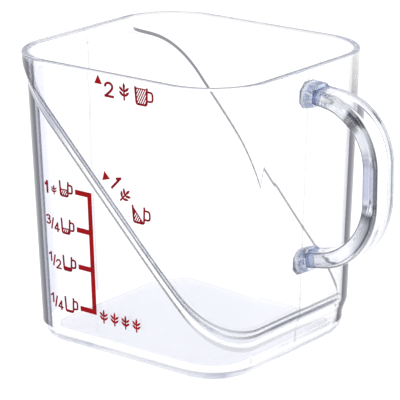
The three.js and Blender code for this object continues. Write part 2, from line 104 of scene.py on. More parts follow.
class Shade(NamedTuple):
    """Painted shades of the strap at a distance along it, standing in for the surroundings it reflects.

    The corner is a painted dark line on its outer corners. The dark and cool shares are the painted shade and
    the painted cool reflection of its side faces, and the inner share says how much of them is left at the
    side's inner edge.
    """

    along: float
    corner: float
    dark: float
    cool: float
    inner: float


class Station(NamedTuple):
    """Point of the strap's middle line, the way along it and the distance from its upper end."""

    point: Vector
    way: Vector
    along: float


class Column(NamedTuple):
    """Upright column of the cup's wall: the place of its outside along X, and its outward way."""

    x: float
    out_x: float
    out_y: float

    @property
    def back(self) -> float:
        """Share of the back wall in the column."""
        return ease(self.out_y, 0.0, BACK_TURN)

    @property
    def far(self) -> float:
        """Share of the wall opposite the handle in the column."""
        return max(0.0, -self.out_x) ** FAR_POWER * (1.0 - self.back)

    @property
    def near(self) -> float:
        """Share of the corner between the printed face and the handle's face in the column."""
        return max(0.0, (self.out_x - self.out_y) * math.sqrt(0.5)) ** NEAR_POWER

    @property
    def front(self) -> float:
        """Share of the printed face and the handle's face in the column."""
        return (1.0 - self.back) * (1.0 - self.far)


class Slot(Enum):
    """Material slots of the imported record."""

    CLEAR = "clear_plastic"
    INK = "red_ink"


class Socket(Enum):
    """Kinds of socket that the shared node groups have."""

    VALUE = "NodeSocketFloat"
    COLOUR = "NodeSocketColor"
    VECTOR = "NodeSocketVector"


def blend(first: float, last: float, share: float) -> float:
    """Blend two values by a share."""
    return first + (last - first) * share


def ease(value: float, start: float, end: float) -> float:
    """Rise smoothly from 0 to 1 as a value goes from a start to an end."""
    share = min(max((value - start) / (end - start), 0.0), 1.0)
    return share * share * (3.0 - 2.0 * share)


def smooth_piece(
    name: str, bm: bmesh.types.BMesh, material: bpy.types.Material,
) -> bpy.types.Object:
    """Turn a finished bmesh into a smooth-shaded piece that rides on the cup.

    Args:
        name: Name of the piece.
        bm: Closed mesh in metres, which is freed.
        material: Finish of the whole piece.

    Returns:
        The new object, at the origin.
    """
    bmesh.ops.recalc_face_normals(bm, faces=bm.faces)
    for face in bm.faces:
        face.smooth = True
    mesh = bpy.data.meshes.new(name)
    bm.to_mesh(mesh)
    bm.free()
    mesh.materials.append(material)
    piece = bpy.data.objects.new(name, mesh)
    bpy.context.scene.collection.objects.link(piece)
    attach(piece, BODY)
    log.info("%s: %d faces", name, len(mesh.polygons))
    return piece


def fill_ramp(node: bpy.types.Node, stops: tuple[tuple[float, Colour], ...]) -> None:
    """Set the stops of a colour ramp.

    Args:
        node: Colour ramp node.
        stops: Positions and colours, in rising order.
    """
    elements = node.color_ramp.elements
    while len(elements) < len(stops):
        elements.new(1.0)
    for element, (position, colour) in zip(elements, stops):
        element.position = position
        element.color = (*colour, 1.0)


def next_ring(bm: bmesh.types.BMesh, ring: list[bmesh.types.BMEdge]) -> list[bmesh.types.BMEdge]:
    """Extrude a ring of edges in place.

    Args:
        bm: Mesh that holds the ring.
        ring: Closed ring of edges.

    Returns:
        The new ring, whose vertices still lie on the old ones.
    """
    made = bmesh.ops.extrude_edge_only(bm, edges=ring)["geom"]
    return [part for part in made if isinstance(part, bmesh.types.BMEdge) and len(part.link_faces) == 1]


def close_flat(bm: bmesh.types.BMesh, ring: list[bmesh.types.BMEdge], margin: float) -> None:
    """Close a ring with one flat face and a narrow border, which keeps the flat's shading even.

    Args:
        bm: Mesh that holds the ring.
        ring: Closed ring of edges.
        margin: Width of the border in metres.
    """
    made = bmesh.ops.contextual_create(bm, geom=ring)["faces"]
    bmesh.ops.inset_region(bm, faces=made, thickness=margin, use_even_offset=True)


class RoundedLoop:
    """Ring of a rounded oblong, kept as a centre and an outward way in vertex layers."""

    def __init__(
        self, bm: bmesh.types.BMesh, half: Span, arc_steps: int, cuts: tuple[int, int], gather: float = 1.0,
    ) -> None:
        """Make the ring at a reach of zero in the plane of X and Y.

        Args:
            bm: Mesh to build in.
            half: Half the distances between the corner centres, along X and Y.
            arc_steps: Points in each corner arc.
            cuts: Points along the flats that run in X and in Y.
            gather: Power that draws the points of the flats in Y towards their middle.
        """
        self.bm = bm
        # Layers of the painted dark lines, the painted slant shade and the painted cool reflection
        self.paint = [bm.verts.layers.float.new(name) for name in (EDGE_SHADE, SLANT_SHADE, COOL_REFLECTION)]
        self.centre = bm.verts.layers.float_vector.new("centre")
        self.outward = bm.verts.layers.float_vector.new("outward")
        turn = Matrix.Rotation(math.pi / (4 * arc_steps), 4, "Z")
        made = bmesh.ops.create_circle(bm, segments=4 * arc_steps, radius=1.0, matrix=turn)
        for vert in made["verts"]:
            centre = math.copysign(half[0], vert.co.x), math.copysign(half[1], vert.co.y), 0.0
            vert[self.outward] = vert.co.normalized()
            vert[self.centre] = Vector(centre)
        for axis, count in enumerate(cuts):
            flats = [edge for edge in bm.edges if self._spans(edge, axis)]
            bmesh.ops.subdivide_edges(bm, edges=flats, cuts=count)
        for vert in bm.verts:
            centre = vert[self.centre]
            share = (abs(centre.y) / half[1]) ** gather
            vert[self.centre] = Vector((centre.x, math.copysign(half[1] * share, centre.y), 0.0))
        self.ring = list(bm.edges)

    def _spans(self, edge: bmesh.types.BMEdge, axis: int) -> bool:
        """Tell whether an edge joins two corners along an axis."""
        first, last = (vert[self.centre] for vert in edge.verts)
        return abs(first[axis] - last[axis]) > SAME_PLACE

    def place(self, put: Put) -> None:
        """Put each point of the present ring and set its painted shades.

        Args:
            put: Gives a point's place and painted shades from its centre and outward way.
        """
        for vert in {vert for edge in self.ring for vert in edge.verts}:
            vert.co, paint = put(vert[self.centre], vert[self.outward].normalized())
            for layer, share in zip(self.paint, paint):
                vert[layer] = share

    def extrude(self, put: Put) -> None:
        """Extrude the present ring and put the new one."""
        self.ring = next_ring(self.bm, self.ring)
        self.place(put)

    def drop_layers(self) -> None:
        """Remove the vertex layers that only the building needed."""
        layers = self.bm.verts.layers.float_vector
        for name in ("centre", "outward"):
            layers.remove(layers[name])


@dataclass(frozen=True)
class CupPaint:
    """Painted shades and painted cool reflection of the cup's wall, by the place of a column and the way that
    it looks.

    A pair of lines is for a band's lower and upper corner. A span runs from no share to the full one.
    """

    corner_gain: float = 12.0
    ledge_lines: tuple[float, float] = (0.95, 0.97)
    ledge_foot_share: float = 0.4
    ledge_foot_front: Span = (0.55, 1.0)
    ledge_foot_far: Span = (0.0, 0.2)
    ledge_near_fade: float = 0.75
    ledge_cool: float = 0.95
    ledge_cool_span: Span = (-13.0, -21.0)
    ledge_cool_turn: Span = (0.2, 0.7)
    shelf_lines: tuple[float, float] = (0.3, 0.3)
    shelf_back_lines: tuple[float, float] = (0.97, 0.0)
    shadow_line: float = 0.9
    shadow_near_fade: float = 0.3
    wall_cool: float = 0.58
    wall_cool_span: Span = (-18.0, -34.0)
    wall_cool_turn: Span = (-0.2, 0.3)
    rim_turn: float = 0.72
    rim_cool: float = 0.5
    rim_shade: float = 0.3
    rim_side: Span = (0.0, 0.6)
    rim_lines: tuple[float, float, float, float] = (0.85, 0.5, 0.5, 0.93)
    foot_line: float = 0.3
    foot_line_step: int = 8
    floor_cool: float = 0.42
    floor_line: float = 0.55
    seam_line: float = 0.5

    def wall(self, column: Column) -> Paint:
        """Painted slant shade and cool reflection of the plain wall in a column.

        Args:
            column: Column of the wall.

        Returns:
            The paint, without a line.
        """
        turn = min(1.0, self.corner_gain * abs(column.out_x * column.out_y))
        cool = self.wall_cool * ease(column.x, *self.wall_cool_span)
        return Paint(turn=turn, cool=cool * ease(-column.out_y, *self.wall_cool_turn))

    def ledge_fade(self, column: Column) -> float:
        """Share of the ledge's lines that is left at the near corner."""
        return 1.0 - self.ledge_near_fade * column.near

    def ledge(self, column: Column) -> tuple[float, float]:
        """Painted dark lines along the ledge, of which the lower one fades away from the printed face.

        Args:
            column: Column of the wall.

        Returns:
            The lower and the upper line.
        """
        printed = ease(-column.out_y - max(column.out_x, 0.0), *self.ledge_foot_front)
        foot = blend(self.ledge_foot_share, 1.0, printed)
        foot = blend(foot, 1.0, ease(-column.out_x, *self.ledge_foot_far))
        low, high = self.ledge_lines
        return low * column.front * foot, high * column.front * self.ledge_fade(column)

    def ledge_tint(self, column: Column) -> float:
        """Share of the painted cool reflection on the ledge's band."""
        cool = self.ledge_cool * ease(column.x, *self.ledge_cool_span)
        return cool * ease(-column.out_y, *self.ledge_cool_turn)

    def shelf(self, column: Column) -> tuple[float, float]:
        """Painted dark lines along the inner shelf, which are strongest on the back wall.

        Args:
            column: Column of the wall.

        Returns:
            The lower and the upper line.
        """
        pairs = zip(self.shelf_lines, self.shelf_back_lines)
        lines = (blend(front * (1.0 - column.far), rear, column.back) for front, rear in pairs)
        low, high = (line * self.ledge_fade(column) for line in lines)
        return low, high

    def shadow(self, column: Column) -> float:
        """Painted line of the inner shelf's shade on the wall above the ledge."""
        return self.shadow_line * column.front * (1.0 - self.shadow_near_fade * column.near)

    def rim(self, column: Column) -> tuple[Paint, Paint]:
        """Painted shade and cool reflection of the rim in a column, blended from the handle's, back, far and
        printed faces.

        Args:
            column: Column of the wall.

        Returns:
            The paint of the outer round, and that of the top and the inner round.
        """
        side = ease(max(0.0, 2.0 * column.out_x * column.out_y), *self.rim_side)
        ways = (column.out_x, column.out_y, -column.out_x, -column.out_y)
        shares = [max(way, 0.0) for way in ways]
        line = sum(line * share * share for line, share in zip(self.rim_lines, shares))
        outer = Paint(self.rim_shade * side, cool=self.rim_cool * side)
        return outer, outer._replace(line=blend(line, self.rim_shade, side))


@dataclass(eq=False)
class CupShell:
    """The cup's one moulding: floor, leaning wall with its slanting ledge, and rim."""

    height: float = 84.0
    half_x: float = 22.0
    half_y: float = 18.4
    foot_radius: float = 14.35
    wall_rise: float = 0.0363
    wall: float = 2.0
    floor: float = 2.6
    foot_fillet: float = 4.6
    floor_fillet: float = 3.4
    rim_round: float = 0.5
    rim_turn_start: float = 0.78
    ledge_step: float = 1.2
    ledge_band: float = 3.85
    ledge_start: float = 10.8
    ledge_end_drop: float = 3.5
    ledge_start_ease: float = 6.3
    ledge_end_ease: float = 5.5
    ledge_start_power: int = 4
    ledge_end_power: int = 10
    ledge_back_drop: float = 4.5
    ledge_rounds: tuple[float, float] = (0.9, 0.6)
    shelf_band: float = 1.7
    shelf_lift: float = 1.5
    shelf_round: float = 0.6
    shelf_far_round: float = 0.7
    shelf_back_round: float = 0.62
    shelf_start_round: float = 0.8
    shelf_start_span: Span = (0.0, -18.0)
    shadow_rises: tuple[float, float, float, float] = (1.2, 1.4, 1.95, 2.15)
    seam_reach: float = 0.2
    support: float = 0.15
    arc_steps: int = 24
    flat_cuts: tuple[int, int] = (44, 12)
    seam_gather: float = 2.2
    paint: CupPaint = CupPaint()

    def lower(self, z: float) -> float:
        """Reach of the lower wall's outside at a height."""
        return self.foot_radius + self.wall_rise * z

    def upper(self, z: float) -> float:
        """Reach of the upper wall's outside at a height."""
        return self.lower(z) + self.ledge_step

    @property
    def rim_start(self) -> Spot:
        """Point of the outside just under the rim's round edge."""
        z = self.height - self.rim_round - self.support
        return Spot(self.upper(z), z)

    def ledge_level(self, column: Column) -> float:
        """Find the height of the middle of the ledge's band, which runs lower on the back wall.

        Args:
            column: Column of the wall.

        Returns:
            The height.
        """
        place = min(max(column.x / (self.half_x + self.upper(self.height / 2)), -1.0), 1.0)
        foot = self.ledge_start - self.ledge_start_ease
        top = self.height - self.ledge_end_drop + self.ledge_end_ease
        start_bend = self.ledge_start_ease * max(place, 0.0) ** self.ledge_start_power
        end_bend = self.ledge_end_ease * max(-place, 0.0) ** self.ledge_end_power
        level = foot + (top - foot) * (1.0 - place) / 2 + start_bend - end_bend
        behind = max(0.0, column.out_y)
        return level - self.ledge_back_drop * behind * (2.0 - behind)

    def band_rows(
        self, level: float, band: float, rounds: tuple[float, float], lines: tuple[float, float],
        wall_cool: float = 0.0, band_cool: float = 0.0,
    ) -> list[Spot]:
        """Rows across a band from the lower wall to the upper wall, with both of its corners rounded.

        Args:
            level: Height of the band's middle.
            band: Height of the band.
            rounds: Lengths of wall that the lower and the upper rounded corner take up.
            lines: Painted dark lines of the lower and the upper corner.
            wall_cool: Share of the painted cool reflection on the wall beside the band.
            band_cool: Share of the painted cool reflection on the band.

        Returns:
            The rows of the outside, from below.
        """
        low, high = level - band / 2, level + band / 2
        foot, top = Vector((self.lower(low), low)), Vector((self.upper(high), high))
        way = (top - foot).normalized()
        wall_way = Vector((self.wall_rise, 1.0)).normalized()
        wall_paint, band_paint = Paint(cool=wall_cool), Paint(cool=band_cool)
        corners = (
            (foot, wall_way, way, wall_paint, band_paint),
            (top, way, wall_way, band_paint, wall_paint),
        )
        rows: list[Spot] = []
        for (corner, before, after, paint_before, paint_after), edge, line in zip(corners, rounds, lines):
            start, end = corner - before * edge, corner + after * edge
            rows.append(Spot(*(start - before * self.support), paint_before))
            for step in range(CORNER_STEPS + 1):
                share = step / CORNER_STEPS
                spot = start.lerp(corner, share).lerp(corner.lerp(end, share), share)
                rows.append(Spot(*spot, Paint(line=line if 0 < step < CORNER_STEPS else 0.0)))
            rows.append(Spot(*(end + after * self.support), paint_after))
        return rows

    def foot_rows(self) -> list[Spot]:
        """Rows of the rounded foot, one of which carries a painted dark line.

        Returns:
            The rows of the outside, from the underside up.
        """
        rows: list[Spot] = []
        for step, angle in enumerate(QUARTER_TURN):
            z = self.foot_fillet * (1 - math.cos(angle))
            line = self.paint.foot_line if step == self.paint.foot_line_step else 0.0
            rows.append(Spot(self.lower(z) - self.foot_fillet * (1 - math.sin(angle)), z, Paint(line)))
        return rows

    def shadow_rows(self, column: Column, ledge_top: float, start: float) -> list[Spot]:
        """Rows above the ledge that carry a painted line of the inner shelf's shade, drawn in where the rim
        is close.

        Args:
            column: Column of the wall.
            ledge_top: Height of the ledge's upper corner.
            start: Height of the last row of the ledge.

        Returns:
            The rows of the outside, from below.
        """
        wall, line = self.paint.wall(column), self.paint.shadow(column)
        room = min(1.0, (self.rim_start.z - start) / (self.shadow_rises[-1] + self.support))
        rows: list[Spot] = []
        for rise, share in zip(self.shadow_rises, (0.0, line, line, 0.0)):
            z = blend(start, max(ledge_top + rise, start), room)
            rows.append(Spot(self.upper(z), z, wall._replace(line=share)))
        return rows

    def outside_rows(self, column: Column, level: float) -> list[Spot]:
        """Rows of the outside wall between the foot and the rim, with their painted shades, which the mould's
        seam crosses.

        Args:
            column: Column of the wall.
            level: Height of the middle of the ledge's band.

        Returns:
            The rows, from below.
        """
        wall = self.paint.wall(column)
        lines, tint = self.paint.ledge(column), self.paint.ledge_tint(column)
        ledge = self.band_rows(level, self.ledge_band, self.ledge_rounds, lines, wall.cool, tint)
        shadow = self.shadow_rows(column, level + self.ledge_band / 2, ledge[-1].z)
        foot_top = self.foot_fillet + self.support
        high = blend(shadow[-1].z, self.rim_start.z, self.rim_turn_start)
        rows = [
            Spot(self.lower(foot_top), foot_top, wall),
            ledge[0]._replace(paint=wall),
            *(spot._replace(paint=spot.paint._replace(turn=wall.turn * column.back)) for spot in ledge[1:-1]),
            ledge[-1]._replace(paint=wall),
            *shadow,
            Spot(self.upper(high), high, wall),
            self.rim_start._replace(paint=wall._replace(turn=wall.turn * self.paint.rim_turn)),
        ]
        return [spot._replace(seamed=True) for spot in rows]

    def rim_rows(self, column: Column) -> list[Spot]:
        """Rows over the rim, from its outer round to the inside just under it, with the rim's painted shades.

        Args:
            column: Column of the wall.

        Returns:
            The rows.
        """
        reach, foot = self.upper(self.height), self.height - self.rim_round
        outer = [
            Spot(reach - self.rim_round * (1 - math.cos(angle)), foot + self.rim_round * math.sin(angle))
            for angle in QUARTER_TURN[::2]
        ]
        inner = [Spot(2 * reach - self.wall - spot.reach, spot.z) for spot in reversed(outer)]
        side, edge = self.paint.rim(column)
        return [
            *(spot._replace(paint=side) for spot in outer[:-1]),
            *(spot._replace(paint=edge) for spot in (outer[-1], *inner)),
            Spot(self.rim_start.reach - self.wall, self.rim_start.z),
        ]

    def shelf_rows(self, column: Column, level: float) -> list[Spot]:
        """Rows of the inner shelf, with painted dark lines at its corners.

        Args:
            column: Column of the wall.
            level: Height of the middle of the ledge's band.

        Returns:
            The rows of the inside, from above.
        """
        started = ease(column.x, *self.shelf_start_span)
        back_edge = blend(self.shelf_back_round, self.shelf_start_round, started)
        edge = blend(blend(self.shelf_round, self.shelf_far_round, column.far), back_edge, column.back)
        lines = self.paint.shelf(column)
        rows = self.band_rows(level + self.shelf_lift, self.shelf_band, (edge, edge), lines)
        return [spot._replace(reach=spot.reach - self.wall) for spot in reversed(rows)]

    def floor_rows(self) -> list[Spot]:
        """Rows from the inside of the lower wall round to the flat floor, with its painted dark edge and cool
        reflection.

        Returns:
            The rows of the inside, from above.
        """
        top = self.floor + self.floor_fillet + self.support
        rows = [Spot(self.lower(top) - self.wall, top)]
        for angle in reversed(QUARTER_TURN):
            z = self.floor + self.floor_fillet * (1 - math.cos(angle))
            rows.append(Spot(self.lower(z) - self.wall - self.floor_fillet * (1 - math.sin(angle)), z))
        edge = rows.pop()
        flat = Paint(cool=self.paint.floor_cool)
        return [
            *rows,
            edge._replace(paint=flat._replace(line=self.paint.floor_line)),
            Spot(edge.reach - self.support, edge.z, flat),
        ]

    @lru_cache(maxsize=None)
    def profile(self, column: Column) -> list[Spot]:
        """Points of one column, from the underside up the outside and down the inside.

        Args:
            column: Column of the wall.

        Returns:
            The column's points in millimetres.
        """
        level = self.ledge_level(column)
        return [
            *self.foot_rows(),
            *self.outside_rows(column, level),
            *self.rim_rows(column),
            *self.shelf_rows(column, level),
            *self.floor_rows(),
        ]

    def putter(self, row: int) -> Put:
        """Give the function that puts a ring's points at one row of the profile.

        Args:
            row: Number of the row.

        Returns:
            The function, which works in metres.
        """
        middle = self.upper(self.height / 2)

        def put(centre: Vector, outward: Vector) -> tuple[Vector, Paint]:
            """Put one point and give its painted shades.

            Args:
                centre: Centre of the point's corner, or its place along a flat.
                outward: Outward way of the point.

            Returns:
                The point's place and its paint.
            """
            column = Column(centre.x + outward.x * middle, outward.x, outward.y)
            spot = self.profile(column)[row]
            paint = spot.paint
            if spot.seamed and abs(centre.y) < self.seam_reach:
                paint = paint._replace(line=max(paint.line, self.paint.seam_line))
            return (centre + outward * spot.reach + Vector((0.0, 0.0, spot.z))) * MM, paint

        return put

    def build(self, material: bpy.types.Material) -> bpy.types.Object:
        """Build the cup and let it stand for its node.

        Args:
            material: Clear finish.

        Returns:
            The cup's object.
        """
        bm = bmesh.new()
        half = (self.half_x, self.half_y)
        loop = RoundedLoop(bm, half, self.arc_steps, self.flat_cuts, self.seam_gather)
        printed_middle = Column(0.0, 0.0, -1.0)
        loop.place(self.putter(0))
        close_flat(bm, loop.ring, self.support * MM)
        for row in range(1, len(self.profile(printed_middle))):
            loop.extrude(self.putter(row))
        close_flat(bm, loop.ring, self.support * MM)
        loop.drop_layers()
        piece = smooth_piece("cup_shell", bm, material)
        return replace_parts(piece, "cup_body")


@dataclass(frozen=True)
class Arm:
    """Line of one of the handle's arms: its root on the wall and its slope."""

    root_x: float
    root_z: float
    slope: float

    @property
    def way(self) -> Vector:
        """Unit way along the arm, away from the wall."""
        return Vector((1.0, 0.0, self.slope)).normalized()

    @property
    def across(self) -> Vector:
        """Unit way square to the arm, in the handle's plane."""
        return Vector((-self.way.z, 0.0, self.way.x))

    def height(self, x: float) -> float:
        """Height of the arm's middle at a distance from the cup's axis."""
        return self.root_z + self.slope * (x - self.root_x)

    def point(self, distance: float) -> Vector:
        """Point on the arm at a distance from its root."""
        return Vector((self.root_x, 0.0, self.root_z)) + self.way * distance

    def along(self, place: Vector) -> float:
        """Distance of a place in metres from the arm's root, along the arm in millimetres."""
        return (place / MM - self.point(0.0)).dot(self.way)


@dataclass
class Handle:
    """Strap handle with the two faceted collars that carry it."""

    cup: CupShell
    grip_reach: float = 63.5
    upper_root_drop: float = 6.2
    lower_root_height: float = 30.0
    upper_fall: float = 0.12
    lower_rise: float = 0.21
    upper_bend: float = 16.6
    lower_bend: float = 20.0
    bend_steps: int = 64
    grip_section: tuple[float, float] = (4.8, 9.7)
    arm_section: tuple[float, float] = (4.3, 8.2)
    taper_length: float = 14.0
    strap_round: float = 1.4
    strap_stations: int = 120
    section_arc_steps: int = 8
    section_cuts: tuple[int, int] = (5, 9)
    end_border: float = 0.1
    # Painted shades of the strap: dark lines on its corners, shade where it is seen at a slant, and dark and
    # cool patches on its sides that stand in for the surroundings it reflects
    inner_shade: float = 0.25
    corner_gain: float = 6.0
    slant_gain: float = 3.0
    side_turn: Span = (0.8, 0.97)
    shades: tuple[Shade, ...] = (
        Shade(0.0, 0.25, 0.1, 0.1, 0.5), Shade(3.6, 0.3, 0.0, 0.05, 0.5), Shade(4.2, 0.3, 0.45, 0.0, 0.3),
        Shade(6.6, 0.35, 0.55, 0.0, 0.3), Shade(7.4, 0.3, 0.0, 0.0, 0.5), Shade(11.2, 0.4, 0.0, 0.0, 0.8),
        Shade(12.2, 0.9, 0.97, 0.0, 0.9), Shade(15.8, 0.9, 0.97, 0.0, 0.7), Shade(17.2, 0.5, 0.0, 0.0, 0.5),
        Shade(22.0, 0.75, 0.0, 0.1, 1.0), Shade(25.5, 0.9, 0.2, 0.5, 1.0), Shade(26.7, 0.9, 0.6, 0.5, 1.0),
        Shade(28.0, 0.97, 0.0, 0.62, 1.0), Shade(38.0, 0.97, 0.0, 0.62, 1.0), Shade(39.6, 0.9, 0.0, 0.1, 1.0),
        Shade(40.6, 0.9, 0.98, 0.4, 1.0), Shade(42.0, 0.9, 0.95, 0.5, 0.9), Shade(44.0, 0.9, 0.8, 0.6, 0.6),
        Shade(48.0, 0.8, 0.78, 0.5, 0.35), Shade(51.0, 0.6, 0.6, 0.5, 0.2), Shade(54.0, 0.3, 0.1, 0.3, 0.2),
        Shade(57.0, 0.2, 0.0, 0.1, 0.5), Shade(61.0, 0.2, 0.1, 0.3, 0.5), Shade(75.0, 0.25, 0.05, 0.2, 0.5),
    )
    collar_length: float = 4.4
    collar_root: tuple[float, float] = (8.2, 7.8)
    collar_end: tuple[float, float] = (8.8, 6.2)
    collar_root_drop: float = 0.9
    collar_chamfer: float = 2.1
    collar_edge: float = 0.4
    collar_edge_steps: int = 2
    collar_crease: float = 0.1
    collar_end_turn: float = 0.9
    # Painted dark outline near the collar's root, and painted cool reflection on its facets beyond the clear
    # root band
    collar_outline: Span = (0.9, 0.5)
    collar_outline_line: float = 0.85
    collar_clear: Span = (1.5, 1.9)
    weld: float = 0.25

    def __post_init__(self) -> None:
        """Set the lines of the two arms."""
        self.upper = self._arm(self.cup.height - self.upper_root_drop, -self.upper_fall)
        self.lower = self._arm(self.lower_root_height, self.lower_rise)

    def _face(self, z: float) -> float:
        """Place of the handle face's outside at a height."""
        return self.cup.half_x + self.cup.upper(z)

    def _arm(self, root_z: float, slope: float) -> Arm:
        """Line of an arm that leaves the wall at a height."""
        return Arm(self._face(root_z), root_z, slope)

    def path(self) -> list[Vector]:
        """Points of the strap's middle line: two straight arms with two bends, and the upright grip between.

        Returns:
            The points, from the upper collar round to the lower one.
        """
        upper_turn, lower_turn = math.atan(self.upper.slope), math.atan(self.lower.slope)
        upper_x, lower_x = self.grip_reach - self.upper_bend, self.grip_reach - self.lower_bend
        upper_root = self.upper.height(upper_x - self.upper_bend * math.sin(upper_turn))
        lower_root = self.lower.height(lower_x + self.lower_bend * math.sin(lower_turn))
        upper_z = upper_root - self.upper_bend * math.cos(upper_turn)
        lower_z = lower_root + self.lower_bend * math.cos(lower_turn)
        arcs = (
            (upper_x, upper_z, self.upper_bend, math.pi / 2 + upper_turn, 0.0),
            (lower_x, lower_z, self.lower_bend, 0.0, lower_turn - math.pi / 2),
        )
        points = [self.upper.point(self.collar_length - self.weld)]
        for x, z, radius, first, last in arcs:
            for step in range(self.bend_steps + 1):
                turn = first + (last - first) * step / self.bend_steps
                points.append(Vector((x + radius * math.cos(turn), 0.0, z + radius * math.sin(turn))))
        points.append(self.lower.point(self.collar_length - self.weld))
        return points

    def stations(self) -> list[Station]:
        """Evenly spaced stations of the strap.

        Returns:
            The stations, from the upper collar round to the lower one.
        """
        points = self.path()
        lengths = [0.0]
        for before, after in zip(points, points[1:]):
            lengths.append(lengths[-1] + (after - before).length)
        stations: list[Station] = []
        place = 0
        for number in range(self.strap_stations):
            along = lengths[-1] * number / (self.strap_stations - 1)
            while place < len(points) - 2 and lengths[place + 1] < along:
                place += 1
            share = (along - lengths[place]) / (lengths[place + 1] - lengths[place])
            way = (points[place + 1] - points[place]).normalized()
            stations.append(Station(points[place].lerp(points[place + 1], share), way, along))
        return stations

    def section(self, from_end: float) -> list[float]:
        """Thickness and width of the strap at a distance from its nearer end."""
        grown = ease(from_end, 0.0, self.taper_length)
        return [blend(arm, grip, grown) for arm, grip in zip(self.arm_section, self.grip_section)]

    def shade(self, along: float) -> Shade:
        """Blend the painted shades at a distance along the strap from the listed ones.

        Args:
            along: Distance from the strap's upper end.

        Returns:
            The shades.
        """
        after = next(number for number, shade in enumerate(self.shades) if shade.along > along)
        first, last = self.shades[after - 1], self.shades[after]
        share = (along - first.along) / (last.along - first.along)
        return Shade(*(blend(start, end, share) for start, end in zip(first, last)))

    def strap_putter(self, station: Station, length: float) -> Put:
        """Give the function that puts a ring's points round the strap at one station and gives their painted
        shades.

        Args:
            station: Station of the strap.
            length: Length of the whole strap.

        Returns:
            The function, which works in metres.
        """
        from_end = min(station.along, length - station.along)
        half = [size / 2 - self.strap_round for size in self.section(from_end)]
        shade = self.shade(station.along)
        across = Vector((-station.way.z, 0.0, station.way.x))

        def put(centre: Vector, outward: Vector) -> tuple[Vector, Paint]:
            """Put one point and give its painted shades.

            Args:
                centre: Share of the section's flats, from -1 to 1 each way.
                outward: Outward way of the point in the section.

            Returns:
                The point's place and its paint.
            """
            out = centre.x * half[0] + outward.x * self.strap_round
            side = centre.y * half[1] + outward.y * self.strap_round
            corner = min(1.0, self.corner_gain * (outward.x * outward.y) ** 2)
            flat = ease(abs(outward.y), *self.side_turn)
            flat *= blend(shade.inner, 1.0, (centre.x + 1.0) / 2)
            line = corner * (shade.corner if outward.x > 0.0 else self.inner_shade) + flat * shade.dark
            turn = min(1.0, self.slant_gain * abs(outward.x * outward.y))
            paint = Paint(min(line, 1.0), turn, flat * shade.cool)
            return (station.point + across * out + Vector((0.0, side, 0.0))) * MM, paint

        return put

    def build_strap(self, material: bpy.types.Material) -> bpy.types.Object:
        """Build the bent strap and let it stand for its node.

        Args:
            material: Clear finish.

        Returns:
            The strap's object.
        """
        bm = bmesh.new()
        loop = RoundedLoop(bm, (1.0, 1.0), self.section_arc_steps, self.section_cuts)
        first, *others = self.stations()
        length = others[-1].along
        loop.place(self.strap_putter(first, length))
        close_flat(bm, loop.ring, self.end_border * MM)
        for station in others:
            loop.extrude(self.strap_putter(station, length))
        close_flat(bm, loop.ring, self.end_border * MM)
        loop.drop_layers()
        piece = smooth_piece("handle_strap", bm, material)
        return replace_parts(piece, "handle_grip")

    def collar_corner(self, spot: Vector, size: tuple[float, float]) -> tuple[float, float]:
        """Find one corner of a collar's eight-sided section.

        Args:
            spot: Matching corner of a regular octagon.
            size: Width and height of the section.

        Returns:
            Offsets across and up from the section's middle.
        """
        half_width, half_height = size[0] / 2, size[1] / 2
        if abs(spot.x) > abs(spot.y):
            half_height -= self.collar_chamfer
        else:
            half_width -= self.collar_chamfer
        return math.copysign(half_width, spot.x), math.copysign(half_height, spot.y)

    def shape_collar(self, bm: bmesh.types.BMesh, arm: Arm) -> set[bmesh.types.BMFace]:
        """Shape a collar from an octagon on the wall, cut it where its painted shades change and round its
        edges.

        Args:
            bm: Mesh to build in.
            arm: Arm that the collar carries.

        Returns:
            The faces of the rounded edges.
        """
        turn = Matrix.Rotation(math.pi / COLLAR_SIDES, 4, "Z")
        made = bmesh.ops.create_circle(bm, segments=COLLAR_SIDES, radius=1.0, matrix=turn)
        far_places: dict[bmesh.types.BMVert, Vector] = {}
        for vert in made["verts"]:
            spot = vert.co.copy()
            side, up = self.collar_corner(spot, self.collar_root)
            place = arm.point(0.0) - Vector((0.0, 0.0, self.collar_root_drop)) + arm.across * up
            vert.co = Vector((self._face(place.z) - self.weld, side, place.z)) * MM
            side, up = self.collar_corner(spot, self.collar_end)
            end = arm.point(self.collar_length) + arm.across * up + Vector((0.0, side, 0.0))
            far_places[vert] = end * MM
        root = bmesh.ops.contextual_create(bm, geom=list(bm.edges))["faces"]
        made = bmesh.ops.extrude_face_region(bm, geom=root)["geom"]
        for vert in [part for part in made if isinstance(part, bmesh.types.BMVert)]:
            source = min(far_places, key=lambda old: (old.co - vert.co).length)
            vert.co = far_places[source]
        for distance in (*self.collar_outline, *self.collar_clear):
            whole = [*bm.verts, *bm.edges, *bm.faces]
            bmesh.ops.bisect_plane(bm, geom=whole, plane_co=arm.point(distance) * MM, plane_no=arm.way)
        creases = [edge for edge in bm.edges if edge.calc_face_angle() > self.collar_crease]
        made = bmesh.ops.bevel(
            bm, geom=creases, offset=self.collar_edge * MM, offset_type="OFFSET",
            segments=self.collar_edge_steps, profile=0.5, affect="EDGES", material=-1,
        )
        return set(made["faces"])

